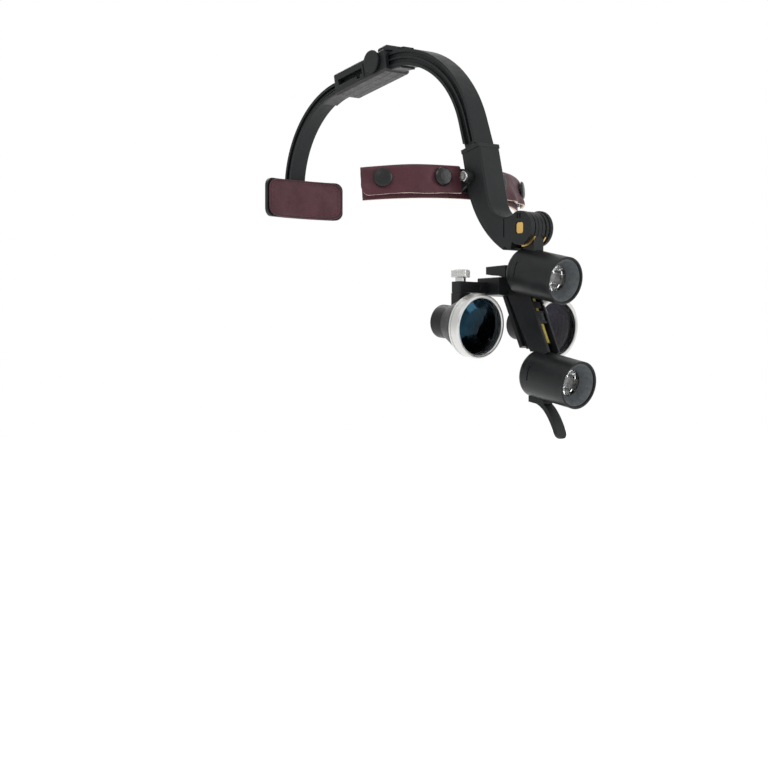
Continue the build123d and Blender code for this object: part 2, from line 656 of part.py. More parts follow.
def carrier_bar():
    """Slanted bar between the lamps, channelled in front for the height screw."""
    side = make_face(Polyline((-BAR_DEPTH, 8), (-6.5, 8), (-6.5, 0), (-0.6, 0),
                              (-BAR_BACK_LOW, -BAR_LENGTH), (-BAR_DEPTH, -BAR_LENGTH), close=True))
    bar = slab(side, -BAR_HALF, BAR_HALF)
    front = [e for e in bar.edges().filter_by(Axis.Z) if e.center().Y < 0.1 - BAR_DEPTH]
    bar = fillet(front, 0.5)
    bar += block(-BAR_RAIL, BAR_RAIL, -BAR_BACK_LOW - 1, 0.8, -34, 0)
    floor = -BAR_DEPTH + CHANNEL_DEPTH
    bar -= block(-CHANNEL_HALF, CHANNEL_HALF, -BAR_DEPTH - 1, floor, -CHANNEL_END, 10)
    # bearing shelves above and below the wheel
    for z in (WHEEL_Z + HEIGHT_WHEEL + RUN, WHEEL_Z - SHELF - RUN):
        bar += block(-CHANNEL_HALF - 0.5, CHANNEL_HALF + 0.5, SCREW_Y - 2.2, floor + 0.5, z, z + SHELF)
    bar -= Pos(0, SCREW_Y, 0) * post(HEIGHT_SCREW_R + RUN, 60, -50)
    # slot through the web for the slide's stem
    slot_low = (NUT_LOW + NUT_HIGH) / 2 - STEM_HALF - NUT_DOWN - GAP
    slot_high = (NUT_LOW + NUT_HIGH) / 2 + STEM_HALF + NUT_UP + GAP
    bar -= block(-STEM_HALF - RUN, STEM_HALF + RUN, floor - 1, 1, slot_low, slot_high)
    bar = BAR * bar
    bar -= lamp_skin(UPPER_LAMP)
    bar -= lamp_skin(LOWER_LAMP)
    return keep_largest(bar)


def height_screw():
    length = HEIGHT_SCREW_TOP - HEIGHT_SCREW_END
    screw = post(HEIGHT_SCREW_R, length, HEIGHT_SCREW_END)
    return BAR * Pos(0, SCREW_Y, 0) * screw


def height_wheel():
    wheel = post(HEIGHT_WHEEL_R, HEIGHT_WHEEL, 0)
    wheel = chamfer(wheel.edges(), 0.3)
    for z in (1.2, 2.3, 3.4):
        wheel -= post(HEIGHT_WHEEL_R + 1, 0.4, z - 0.2) - post(HEIGHT_WHEEL_R - 0.35, 1, z - 0.5)
    wheel -= post(HEIGHT_SCREW_R, HEIGHT_WHEEL + 2, -1)
    return BAR * Pos(0, SCREW_Y, WHEEL_Z) * wheel


def bar_screw():
    """Small round-head screw on the front edge of the bar's left wall."""
    screw = post(0.95, 0.8, 0)
    screw = fillet(screw.edges().group_by(Axis.Z)[-1], 0.4)
    wall = (BAR_HALF + CHANNEL_HALF) / 2
    return BAR * Pos(wall, -BAR_DEPTH, BAR_SCREW_Z) * Rot(90, 0, 0) * screw


def lamp_housing(rear):
    tube = post(LAMP_R, LAMP_LENGTH - CAP_LENGTH - RIM_LENGTH, CAP_LENGTH)
    tube -= post(LAMP_R - LAMP_WALL, LAMP_LENGTH, CAP_LENGTH - 1)
    # short slit round the near side, with round ends
    for k in range(9):
        a = radians(174 + (k - 4) * 4.2)
        tube -= Pos(0, 0, 7.6) * Rot(0, 0, degrees(a)) * Rot(0, 90, 0) * post(0.5, 6, LAMP_R - 4)
    return lamp_plane(rear) * keep_largest(tube)


def lamp_rear_cap(rear):
    cap = post(LAMP_R, CAP_LENGTH, 0)
    cap = fillet(cap.edges().group_by(Axis.Z)[0], 2.6)
    cap += post(LAMP_R - LAMP_WALL, 1.8, CAP_LENGTH - 0.3)
    cap -= post(LAMP_R - 3.4, 6, 2.0)
    return lamp_plane(rear) * cap


def lamp_bezel(rear):
    z0 = LAMP_LENGTH - RIM_LENGTH
    rim = turned((LAMP_R - 1.3, z0), (LAMP_R, z0), (LAMP_R, z0 + RIM_LENGTH - 0.3),
                 (LAMP_R - 0.3, z0 + RIM_LENGTH), (LAMP_R - 0.9, z0 + RIM_LENGTH),
                 (LAMP_R - 1.3, z0 + RIM_LENGTH - 0.4))
    return lamp_plane(rear) * rim


def lamp_baffle(rear):
    """Conical light trap from the rim back to the lens."""
    front = LAMP_LENGTH - RIM_LENGTH
    back = LAMP_LENGTH - LENS_DEPTH
    wide = LAMP_R - LAMP_WALL
    cone = turned((wide - 0.5, front), (wide, front), (wide, back - 1.0), (LENS_R, back - 1.0),
                  (LENS_R, back + 0.3))
    return lamp_plane(rear) * cone


def lamp_lens(rear):
    """Clear collimator: wide domed front, narrow back with a pocket for the emitter."""
    face = LAMP_LENGTH - LENS_DEPTH
    lens = turned((0, face + 0.5), (3.2, face + 0.3), (LENS_R - 0.5, face), (LENS_R - 0.05, face - 1.0),
                  (3.4, face - 9.0), (2.4, face - 9.0), (2.4, face - 5.0), (0, face - 5.0))
    return lamp_plane(rear) * lens


def lamp_led(rear):
    """Emitter board seated in the rear cap, with the emitter block and dome."""
    board = post(LAMP_R - 3.5, 1.6, 5.0)
    board += block(-1.7, 1.7, -1.7, 1.7, 6.6, LAMP_LENGTH - LENS_DEPTH - 9.4)
    board += post(1.3, 1.2, LAMP_LENGTH - LENS_DEPTH - 9.5)
    return lamp_plane(rear) * board


def flip_lever():
    """Flat tongue under the lower lamp, curving forward and down, with a saddle foot."""
    path = Spline(*[(y, z) for y, z in LEVER_PATH], tangents=[(-1, -0.2), (-0.25, -1)])
    half = LEVER_THICKNESS / 2
    left = offset_curve(path, half)
    right = offset_curve(path, -half)
    strip = slab(make_face([left, right, Line(left @ 0, right @ 0), Line(left @ 1, right @ 1)]),
                 -LEVER_HALF, LEVER_HALF)
    foot = block(-LEVER_HALF, LEVER_HALF, -62.0, -50.6, -122.0, -112.0)
    foot = foot & slab(make_face(Polyline((-50.6, -120.6), (-50.6, -112), (-64, -112),
                                          (-64, -121.6), (-58, -122.0), close=True)), -5, 5)
    lever = strip + foot
    end = LEVER_PATH[-1][1]
    face = Pos(0, end + LEVER_HALF) * Circle(LEVER_HALF)
    face += Pos(0, end + LEVER_HALF + 20) * Rectangle(2 * LEVER_HALF, 40)
    lever &= Pos(0, -20, 0) * extrude(Plane.XZ * face, amount=80)
    lever -= lamp_skin(LOWER_LAMP)
    return keep_largest(lever)


def offset_curve(path, distance):
    """Spline at a fixed distance from a planar path, on its left for positive values."""
    points = []
    for k in range(9):
        t = k / 8
        tangent = path % t
        normal = Vector(-tangent.Y, tangent.X)
        points.append((path @ t) + normal * distance)
    return Spline(*points)


# ---------------------------------------------------------------- loupe slide
def slide_plate():
    """Thin plate behind the bar; its top stands upright and carries a rear finger tab."""
    back = SLIDE_GAP + SLIDE_THICKNESS
    plate = BAR * block(-SLIDE_HALF, SLIDE_HALF, SLIDE_GAP, back, SLIDE_END, -0.6)
    y = BAR_BACK_TOP[0] + SLIDE_GAP - 0.2
    upright = block(-SLIDE_HALF, SLIDE_HALF, y, y + 2.4, -62.2, -47.0)
    upright -= BAR * block(-20, 20, -20, SLIDE_GAP, -20, NUT_DOWN + GAP)
    tab_face = make_face(Polyline((y, -45.2), (TAB_REAR, -45.6), (TAB_REAR, -49.7), (-23.4, -50.6),
                                  (-28.0, -51.0), (y + 2.4, -51.8), (y, -51.8), close=True))
    tab = slab(tab_face, -SLIDE_HALF, SLIDE_HALF)
    plate += upright
    plate += fillet(tab.edges().group_by(Axis.Y)[-1].filter_by(Axis.Z), 1.0)
    plate -= BAR * Pos(0, 0, (NUT_LOW + NUT_HIGH) / 2) * nut_stem()
    return keep_largest(plate)


def nut_stem():
    """Stem of the slide nut, from the channel through the web into the slide plate."""
    return block(-STEM_HALF, STEM_HALF, -BAR_DEPTH + CHANNEL_DEPTH - 1, SLIDE_GAP + SLIDE_THICKNESS,
                 -STEM_HALF, STEM_HALF)


def slide_nut():
    """Brass nut on the height screw, with its stem."""
    floor = -BAR_DEPTH + CHANNEL_DEPTH - GAP
    nut = block(-NUT_HALF, NUT_HALF, NUT_FRONT, floor, NUT_LOW, NUT_HIGH)
    nut -= Pos(0, SCREW_Y, 0) * post(HEIGHT_SCREW_R + RUN, 20, NUT_LOW - 5)
    nut += Pos(0, 0, (NUT_LOW + NUT_HIGH) / 2) * nut_stem()
    return BAR * nut


def pd_block():
    """Middle block of the loupe frame with the guide that both arms slide in."""
    body = block(-BLOCK_HALF, BLOCK_HALF, CHEEK_FRONT, BLOCK_REAR, ARM_Z0 - 1.0, ARM_Z1 + 2.7)
    body = fillet(body.edges().filter_by(Axis.Y), 0.8)
    front = BAR_BACK_TOP[0] + SLIDE_GAP + 2.2
    clear = BAR_HALF + GAP + 0.2
    body -= block(-clear, clear, CHEEK_FRONT - 1, front, ARM_Z0 - 5, ARM_Z1 + 5)
    body -= BAR * block(-clear, clear, -20, SLIDE_GAP + SLIDE_THICKNESS, -20, 20)
    body -= block(-BLOCK_HALF - 1, BLOCK_HALF + 1, ARM_Y0 - RUN, ARM_Y1 + RUN,
                  ARM_Z0 - RUN, ARM_Z1 + RUN)
    for x in (-8.0, 8.0):
        body -= Pos(x, 0, ARM_Z0 / 2 + ARM_Z1 / 2) * Rot(-90, 0, 0) * post(1.0, 5, ARM_Y1 - 1)
    return body


def pd_lock_screws():
    """Two grub screws behind the block that lock the arms."""
    screws = []
    for x in (-8.0, 8.0):
        screw = post(0.98, 2.0, 0) - post(0.5, 1.0, 1.2)
        screws.append(Pos(x, ARM_Y1 + 0.2, ARM_Z0 / 2 + ARM_Z1 / 2) * Rot(-90, 0, 0) * screw)
    return Compound(children=screws)


def pd_arm(side):
    """Square arm from the block to one loupe, bored at its end for the thumb screw."""
    arm = block(ARM_INNER, ARM_END, ARM_Y0, ARM_Y1, ARM_Z0, ARM_Z1)
    arm = fillet(arm.edges().group_by(Axis.X)[-1].filter_by(Axis.Z), 1.0)
    arm -= Pos(LOUPE_X, THUMB_Y, ARM_Z0 - 1) * post(1.5 + RUN, 12)
    arm -= block(17.5, 24.5, ARM_Y0 - 1, ARM_Y0 + 0.5, ARM_Z0 + 1.5, ARM_Z1 - 1.5)
    return arm if side > 0 else arm.mirror(Plane.YZ)


def thumb_screw(side):
    """Knurled thumb screw on top of an arm, threaded into the loupe's carriage."""
    z = ARM_Z1
    screw = post(THUMB_NECK_R, THUMB_NECK, z + 0.05)
    head = post(THUMB_R, THUMB_HEAD, z + THUMB_NECK)
    head = chamfer(head.edges(), 0.35)
    for n in range(30):
        a = 2 * pi * n / 30
        head -= Pos(THUMB_R * cos(a), THUMB_R * sin(a), z) * post(0.22, 12)
    screw += head
    screw += post(1.5, z - ARM_Z0 + 2.9, ARM_Z0 - 2.8)
    return Pos(side * LOUPE_X, THUMB_Y, 0) * screw


# ---------------------------------------------------------------- loupes
def barrel_skin(grow=0.0):
    """Outer outline of a loupe barrel behind its ring, in the loupe frame."""
    end = -BARREL_LENGTH
    return turned((0, -RING_LENGTH), (RING_R - 1.0 + grow, -RING_LENGTH),
                  (RING_R - 1.6 + grow, -RING_LENGTH - 2.5),
                  (EYEPIECE_R + 0.9 + grow, end + EYEPIECE_LENGTH), (EYEPIECE_R + grow, end + EYEPIECE_LENGTH),
                  (EYEPIECE_R + grow, end + 0.6), (EYEPIECE_R - 0.6 + grow, end), (0, end))


def loupe_carriage(side):
    """Saddle under the arm that carries the barrel and turns on the thumb screw."""
    x = side * LOUPE_X
    top = ARM_Z1 - (ARM_Z1 - ARM_Z0) - GAP / 2
    body = block(x - CARRIAGE_HALF, x + CARRIAGE_HALF, ARM_Y0 - 0.4, ARM_Y1 + 0.2, top - 12, top)
    body = fillet(body.edges().filter_by(Axis.Z), 1.0)
    body -= loupe_plane(side) * barrel_skin()
    body -= Pos(x, THUMB_Y, 0) * post(1.5 + RUN, 5, top - 3.0)
    return keep_largest(body)


def loupe_barrel(side):
    """Tapered barrel, hollow, with light-trap grooves inside its wide end."""
    body = barrel_skin()
    end = -BARREL_LENGTH
    w = BARREL_WALL
    body -= turned((0, -RING_LENGTH + 1), (RING_R - 1.0 - w, -RING_LENGTH + 1),
                   (RING_R - 1.6 - w, -RING_LENGTH - 2.5),
                   (EYEPIECE_R - w, end + EYEPIECE_LENGTH + 0.5), (EYEPIECE_R - w, end + 1.4),
                   (EYEPIECE_R - w - 1.2, end + 1.4), (EYEPIECE_R - w - 1.2, end - 1), (0, end - 1))
    for k, z in enumerate((-9.5, -12.0, -14.5, -17.0)):
        outer = RING_R - 2.6 - 0.42 * (-z - RING_LENGTH)
        body += turned((outer - 1.6, z), (outer + 0.9, z), (outer + 0.9, z + 0.5), (outer - 1.6, z + 0.5))
    spigot = turned((RING_BORE - 0.9, -RING_LENGTH - 1), (RING_BORE, -RING_LENGTH - 1),
                    (RING_BORE, -RING_LENGTH + 3.4), (RING_BORE - 0.9, -RING_LENGTH + 3.4))
    return loupe_plane(side) * keep_largest(body + spigot)


def objective_ring(side):
    """Satin front ring with a rounded lip, screwed over the barrel's spigot."""
    ring = turned((RING_BORE, -RING_LENGTH), (RING_R, -RING_LENGTH), (RING_R, -0.7),
                  (RING_R - 0.7, 0), (RING_BORE + 0.5, 0), (RING_BORE, -0.5))
    groove = turned((RING_R - 0.3, -RING_LENGTH + 1.2), (RING_R + 1, -RING_LENGTH + 1.2),
                    (RING_R + 1, -RING_LENGTH + 1.7), (RING_R - 0.3, -RING_LENGTH + 1.7))
    return loupe_plane(side) * (ring - groove)


def objective_lens(side):
    """Front lens, domed on both faces, held against the spigot."""
    r = RING_BORE - RUN
    back = -RING_LENGTH + 3.4
    lens = turned((0, back), (r, back), (r, back + 0.9), (r * 0.66, back + 1.6),
                  (r * 0.33, back + 1.95), (0, back + 2.05))
    return loupe_plane(side) * lens


def eyepiece_lens(side):
    """Concave eyepiece lens inside the narrow end."""
    end = -BARREL_LENGTH
    r = EYEPIECE_R - BARREL_WALL - RUN
    lens = turned((0, end + 2.6), (r * 0.5, end + 2.3), (r * 0.85, end + 1.4), (r, end + 1.4),
                  (r, end + 4.4), (r * 0.85, end + 4.2), (r * 0.5, end + 3.7), (0, end + 3.5))
    return loupe_plane(side) * lens


# ---------------------------------------------------------------- forehead pad
def forehead_band():
    """Spring strip inside the leather, with a bossed lug each side of the bracket."""
    strip = ring_sector(LEATHER_BACK + 0.02, BAND_OUT - 0.02, PAD_ANGLE - 1.5, FLAP_LOW + 0.8,
                        PAD_TOP - 1.7, PAD_R, -1)
    y, z = PAD_PIVOT
    inner = BRACKET_HALF + GAP + 0.1
    neck = Polyline((-1.4, FLAP_LOW + 1), (-1.4, z + LUG_R + 1), (y, z + LUG_R),
                    (y - LUG_R * 0.7, z - LUG_R * 0.7), close=True)
    lug = slab(make_face(neck), inner, inner + LUG_WIDTH)
    lug -= Pos(0, PAD_R, 0) * post(LEATHER_BACK + 0.02, 60, -30)
    lug += rod(LUG_R, inner, inner + LUG_WIDTH + LUG_BOSS, y, z)
    band = strip + lug + lug.mirror(Plane.YZ)
    band -= rod(BAND_SCREW_R + RUN, -20, 20, y, z)
    return PAD * keep_largest(band)


def forehead_leather():
    """Leather folded over the band's top edge: long back layer, shorter front flap."""
    back = ring_sector(PAD_R, LEATHER_BACK, PAD_ANGLE, PAD_LOW, PAD_TOP, PAD_R, -1)
    fold = ring_sector(PAD_R, FLAP_OUT, PAD_ANGLE, PAD_TOP - 1.5, PAD_TOP, PAD_R, -1)
    flap = ring_sector(BAND_OUT, FLAP_OUT, PAD_ANGLE, FLAP_LOW, PAD_TOP, PAD_R, -1)
    front = fold + flap
    behind = PAD_R - sqrt(LEATHER_BACK ** 2 - FLAP_GATE ** 2)
    front -= block(-FLAP_GATE, FLAP_GATE, -30, behind, -20, 20)
    return PAD * keep_largest(back + front)


def snap(radius, angle, z, centre_y, facing, dome):
    """One domed snap cap on a curved pad."""
    a = radians(angle)
    x = radius * sin(a)
    y = centre_y + facing * radius * cos(a)
    plane = Plane(origin=(x, y, z), x_dir=(cos(a), -facing * sin(a), 0),
                  z_dir=(sin(a), facing * cos(a), 0))
    cap = turned((0, -0.6), (SNAP_R - 0.9, -0.6), (SNAP_R - 0.9, 0), (SNAP_R, 0.25),
                 (SNAP_R - 0.15, dome * 0.5), (SNAP_R * 0.82, dome * 0.8), (SNAP_R * 0.45, dome * 0.97),
                 (0, dome))
    return plane * cap


def snap_caps():
    caps = [PAD * snap(FLAP_OUT + 0.62, a, SNAP_Z, PAD_R, -1, SNAP_DOME) for a in SNAP_ANGLES]
    return Compound(children=caps)


def band_pivot_screws():
    """Socket-head screws through the clevis lugs into the bracket."""
    screws = []
    outer = BRACKET_HALF + GAP + 0.1 + LUG_WIDTH + LUG_BOSS + 0.02
    for side in (-1, 1):
        head = post(2.9, 1.4, outer)
        head = fillet(head.edges().group_by(Axis.Z)[-1], 0.4)
        head -= extrude(Pos(0, 0, outer + 0.4) * RegularPolygon(1.5, 6), amount=2)
        screw = head + post(BAND_SCREW_R, outer - 4.0, 4.0)
        screws.append(Pos(0, BAND_PIVOT_Y, BAND_PIVOT_Z) * Rot(0, side * 90, 0) * screw)
    return Compound(children=screws)


# ---------------------------------------------------------------- rear pad
REAR_FACE = REAR_CENTRE[0] + REAR_ARC_R - REAR_DEPTH / 2 - 1.3   # carrier's outer face, at the middle
REAR_PAD_CENTRE = REAR_FACE - REAR_PAD_R


def rear_strip(inner, outer, half, z0, z1, corner):
    """Curved plate of the rear pad with rounded corners."""
    plate = Pos(0, REAR_PAD_CENTRE, 0) * (post(outer, z1 - z0, z0) - post(inner, z1 - z0 + 2, z0 - 1))
    window = Pos(0, (z0 + z1) / 2) * RectangleRounded(2 * half, z1 - z0, corner)
    cutter = Pos(0, REAR_FACE + 20, 0) * extrude(Plane.XZ * window, amount=60)
    return plate & cutter


def rear_band():
    """Moulded carrier of the rear pad, with a clevis lug each side of the rear arch."""
    plate = rear_strip(REAR_PAD_R - REAR_CARRIER, REAR_PAD_R, REAR_PAD_HALF, REAR_PAD_LOW,
                       REAR_PAD_HIGH, 5.0)
    pin = rear_pivot()
    inner = REAR_WIDTH / 2 + GAP
    face = Pos(pin[0], pin[1]) * Circle(4.6)
    face += make_face(Polyline((REAR_FACE - 1.8, pin[1] - 7.5), (pin[0], pin[1] - 4.6),
                               (pin[0], pin[1] + 4.6), (REAR_FACE - 1.8, pin[1] + 7.5), close=True))
    lug = slab(face, inner, inner + 3.6)
    band = plate + lug + lug.mirror(Plane.YZ)
    band -= rod(REAR_SCREW_R + RUN, -20, 20, pin[0], pin[1])
    return keep_largest(band)


def rear_leather():
    return rear_strip(REAR_PAD_R - REAR_CARRIER - REAR_CUSHION, REAR_PAD_R - REAR_CARRIER - 0.03,
                      REAR_PAD_HALF - 1.0, REAR_PAD_LOW + 1.0, REAR_PAD_HIGH - 1.0, 4.5)


def rear_snap_caps():
    caps = [snap(REAR_PAD_R + 0.62, a, 6.0, REAR_PAD_CENTRE, 1, SNAP_DOME) for a in (-12.5, 12.5)]
    return Compound(children=caps)


def rear_pivot_screw():
    """Shoulder screw and nut cap through the rear clevis."""
    pin = rear_pivot()
    reach = REAR_WIDTH / 2 + GAP + 3.6 + 0.1
    head = rod(3.2, -reach - 2.2, -reach, pin[0], pin[1])
    head = fillet(head.edges().group_by(Axis.X)[0], 0.6)
    tail = rod(3.2, reach, reach + 1.8, pin[0], pin[1])
    return head + tail + rod(REAR_SCREW_R, -reach - 0.5, reach + 0.5, pin[0], pin[1])


# ---------------------------------------------------------------- build
def build():
    write(front_arch(), "front_arch")
    write(rear_arch(), "rear_arch")
    write(adjuster_housing(), "adjuster_housing")
    write(adjuster_cover(), "adjuster_cover")
    write(adjuster_button(), "adjuster_button")
    write(cover_screws(), "cover_screws")
    write(bracket_shell(), "bracket_shell")
    write(bracket_back_plate(), "bracket_back_plate")
    write(foot_screw(), "foot_screw")
    write(pivot_axle(), "pivot_axle")
    write(brass_washers(), "brass_washers")
    write(pivot_knob(), "pivot_knob")
    write(knob_nut(), "knob_nut")
    write(carrier_arm(), "carrier_arm")
    write(carrier_bar(), "carrier_bar")
    write(bar_screw(), "bar_screw")
    write(height_screw(), "height_screw")
    write(height_wheel(), "height_wheel")
    for name, rear in (("upper_lamp", UPPER_LAMP), ("lower_lamp", LOWER_LAMP)):
        write(lamp_housing(rear), name + "_housing")
        write(lamp_rear_cap(rear), name + "_rear_cap")
        write(lamp_bezel(rear), name + "_bezel")
        write(lamp_baffle(rear), name + "_baffle")
        write(lamp_lens(rear), name + "_lens")
        write(lamp_led(rear), name + "_led_board")
    write(flip_lever(), "flip_lever")
    write(slide_plate(), "slide_plate")
    write(slide_nut(), "slide_nut")
    write(pd_block(), "pd_block")
    write(pd_lock_screws(), "pd_lock_screws")
    for name, side in (("right", -1), ("left", 1)):
        write(pd_arm(side), "pd_arm_" + name)
        write(thumb_screw(side), "thumb_screw_" + name)
        write(loupe_carriage(side), "loupe_carriage_" + name)
        write(loupe_barrel(side), "loupe_barrel_" + name)
        write(objective_ring(side), "objective_ring_" + name)
        write(objective_lens(side), "objective_lens_" + name)
        write(eyepiece_lens(side), "eyepiece_lens_" + name)
    write(forehead_band(), "forehead_band")
    write(forehead_leather(), "forehead_leather")
    write(snap_caps(), "snap_caps")
    write(band_pivot_screws(), "band_pivot_screws")
    write(rear_band(), "rear_band")
    write(rear_leather(), "rear_leather")
    write(rear_snap_caps(), "rear_snap_caps")
    write(rear_pivot_screw(), "rear_pivot_screw")


build()
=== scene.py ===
import bpy
import bmesh
from math import asin, cos, exp, pi, radians, sin, sqrt
from mathutils import Matrix, Vector, noise


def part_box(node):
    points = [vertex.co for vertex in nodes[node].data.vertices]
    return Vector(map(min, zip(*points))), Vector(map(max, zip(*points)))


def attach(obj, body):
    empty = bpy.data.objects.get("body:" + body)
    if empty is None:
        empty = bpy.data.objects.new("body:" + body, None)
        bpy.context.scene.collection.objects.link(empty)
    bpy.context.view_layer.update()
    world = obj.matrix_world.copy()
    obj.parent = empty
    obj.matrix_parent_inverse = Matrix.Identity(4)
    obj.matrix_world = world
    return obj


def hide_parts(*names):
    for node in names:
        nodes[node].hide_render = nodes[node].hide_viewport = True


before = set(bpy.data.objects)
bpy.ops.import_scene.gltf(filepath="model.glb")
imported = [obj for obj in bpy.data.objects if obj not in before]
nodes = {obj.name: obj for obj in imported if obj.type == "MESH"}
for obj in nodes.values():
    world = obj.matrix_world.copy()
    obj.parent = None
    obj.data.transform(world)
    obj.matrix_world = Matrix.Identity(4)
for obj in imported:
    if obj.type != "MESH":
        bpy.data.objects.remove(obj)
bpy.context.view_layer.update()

# ---------------------------------------------------------------- camera
TARGET = Vector((0.00628, 0.08373, -0.111))
VIEW = Vector((0.6428, 0.7660, 0.0)).normalized()   # level, 40 degrees off straight ahead
DISTANCE = 1.1
LENS_MM = 85.08
SENSOR_MM = 36.0
cam_data = bpy.data.cameras.new("camera")
cam_data.lens = LENS_MM
cam_data.sensor_width = SENSOR_MM
cam_data.clip_start = 0.05
cam = bpy.data.objects.new("camera", cam_data)
bpy.context.scene.collection.objects.link(cam)
cam.location = TARGET - VIEW * DISTANCE
cam.rotation_euler = VIEW.to_track_quat("-Z", "Y").to_euler()
bpy.context.scene.camera = cam
bpy.context.scene.view_settings.view_transform = "Standard"


# ---------------------------------------------------------------- materials
COLOUR_A, COLOUR_B, MIXED_COLOUR = 6, 7, 2      # colour sockets of a Mix node
EDGE_START, EDGE_END = 0.75, 0.97               # cosines between a rounded edge and a flat


class Mat:
    """A node material under construction, ending in one Principled shader."""

    def __init__(self, name, colour, rough, metallic=0.0, shine=0.5):
        self.m = bpy.data.materials.new(name)
        self.m.use_nodes = True
        self.tree = self.m.node_tree
        self.tree.nodes.clear()
        self.out = self.tree.nodes.new("ShaderNodeOutputMaterial")
        self.shader = self.tree.nodes.new("ShaderNodeBsdfPrincipled")
        self.join(self.shader.outputs["BSDF"], self.out.inputs["Surface"])
        self.put("Base Color", (*colour, 1.0))
        self.put("Roughness", rough)
        self.put("Metallic", metallic)
        self.put("Specular IOR Level", shine)
        coord = self.tree.nodes.new("ShaderNodeTexCoord")
        self.vector = coord.outputs["Object"]
        self.normal = None

    def join(self, a, b):
        self.tree.links.new(a, b)

    def put(self, socket, value):
        self.shader.inputs[socket].default_value = value

    def local(self, origin, axis):
        """Texture space with its origin on a part and its Z along the part's axis."""
        turn = Vector(axis).normalized().rotation_difference(Vector((0, 0, 1)))
        mapping = self.tree.nodes.new("ShaderNodeMapping")
        mapping.inputs["Rotation"].default_value = turn.to_euler()
        mapping.inputs["Location"].default_value = -(turn @ Vector(origin))
        self.join(self.vector, mapping.inputs["Vector"])
        self.vector = mapping.outputs["Vector"]

    def stretched(self, scale):
        mapping = self.tree.nodes.new("ShaderNodeMapping")
        mapping.inputs["Scale"].default_value = scale
        self.join(self.vector, mapping.inputs["Vector"])
        return mapping.outputs["Vector"]

    def noise(self, size, detail=3.0, rough=0.55, vector=None):
        n = self.tree.nodes.new("ShaderNodeTexNoise")
        n.inputs["Scale"].default_value = 1.0 / size
        n.inputs["Detail"].default_value = detail
        n.inputs["Roughness"].default_value = rough
        self.join(vector or self.vector, n.inputs["Vector"])
        return n.outputs["Fac"]

    def cells(self, size):
        n = self.tree.nodes.new("ShaderNodeTexVoronoi")
        n.inputs["Scale"].default_value = 1.0 / size
        self.join(self.vector, n.inputs["Vector"])
        return n.outputs["Distance"]

    def bands(self, pitch, kind="BANDS", distortion=0.0):
        """Ridges along Z, or rings round Z, one per pitch."""
        n = self.tree.nodes.new("ShaderNodeTexWave")
        n.wave_type = kind
        n.bands_direction = "Z"
        n.rings_direction = "Z"
        n.inputs["Scale"].default_value = 2 * pi / (20 * pitch)
        n.inputs["Distortion"].default_value = distortion
        self.join(self.vector, n.inputs["Vector"])
        return n.outputs["Fac"]

    def ramp(self, value, stops):
        n = self.tree.nodes.new("ShaderNodeValToRGB")
        while len(n.color_ramp.elements) < len(stops):
            n.color_ramp.elements.new(0.5)
        for element, (at, colour) in zip(n.color_ramp.elements, stops):
            element.position = at
            element.color = (*colour, 1.0)
        self.join(value, n.inputs["Fac"])
        return n.outputs["Color"]

    def span(self, value, low, high, start=0.0, end=1.0):
        """The value, mapped from start..end to low..high and clamped there."""
        n = self.tree.nodes.new("ShaderNodeMapRange")
        n.inputs["From Min"].default_value = start
        n.inputs["From Max"].default_value = end
        n.inputs["To Min"].default_value = low
        n.inputs["To Max"].default_value = high
        self.join(value, n.inputs["Value"])
        return n.outputs["Result"]

    def mix(self, factor, a, b):
        """Colour a where the factor is 0 and b where it is 1; a and b are sockets or colours."""
        n = self.tree.nodes.new("ShaderNodeMix")
        n.data_type = "RGBA"
        self.join(factor, n.inputs[0])
        for socket, value in ((n.inputs[COLOUR_A], a), (n.inputs[COLOUR_B], b)):
            if isinstance(value, tuple):
                socket.default_value = (*value, 1.0)
            else:
                self.join(value, socket)
        return n.outputs[MIXED_COLOUR]

    def bump(self, height, depth, strength=1.0):
        n = self.tree.nodes.new("ShaderNodeBump")
        n.inputs["Distance"].default_value = depth
        n.inputs["Strength"].default_value = strength
        self.join(height, n.inputs["Height"])
        if self.normal:
            self.join(self.normal, n.inputs["Normal"])
        self.normal = n.outputs["Normal"]
        self.join(self.normal, self.shader.inputs["Normal"])

    def soft_edges(self, radius):
        """Rounded shading on sharp edges; the result is 1 on an edge and 0 on a flat."""
        n = self.tree.nodes.new("ShaderNodeBevel")
        n.samples = 4
        n.inputs["Radius"].default_value = radius
        self.normal = n.outputs["Normal"]
        self.join(self.normal, self.shader.inputs["Normal"])
        geometry = self.tree.nodes.new("ShaderNodeNewGeometry")
        dot = self.tree.nodes.new("ShaderNodeVectorMath")
        dot.operation = "DOT_PRODUCT"
        self.join(self.normal, dot.inputs[0])
        self.join(geometry.outputs["True Normal"], dot.inputs[1])
        return self.span(dot.outputs["Value"], 1.0, 0.0, EDGE_START, EDGE_END)

    def colour(self, socket):
        self.join(socket, self.shader.inputs["Base Color"])

    def roughness(self, socket):
        self.join(socket, self.shader.inputs["Roughness"])


def tint(colour, factor):
    """The colour made lighter or darker."""
    return tuple(min(1.0, c * factor) for c in colour)


def moulded_plastic(name, colour, rough, grain=0.00035, depth=0.000018):
    """Satin moulded plastic with fine grain, rubbed edges and faint cloudiness."""
    mat = Mat(name, colour, rough, shine=0.16)
    edge = mat.soft_edges(0.00035)
    cloud = mat.noise(0.012, 4.0)
    body = mat.ramp(cloud, [(0.3, tint(colour, 0.86)), (0.7, tint(colour, 1.16))])
    rub = mat.noise(0.0016, 3.0)
    n = mat.tree.nodes.new("ShaderNodeMath")
    n.operation = "MULTIPLY"
    mat.join(edge, n.inputs[0])
    mat.join(mat.span(rub, 0.1, 0.75, 0.35, 0.65), n.inputs[1])
    mat.colour(mat.mix(n.outputs[0], body, tint(colour, 2.6)))
    mat.roughness(mat.span(mat.noise(0.004, 3.0), rough - 0.05, rough + 0.07, 0.3, 0.7))
    mat.bump(mat.noise(grain, 2.0), depth)
    return mat.m


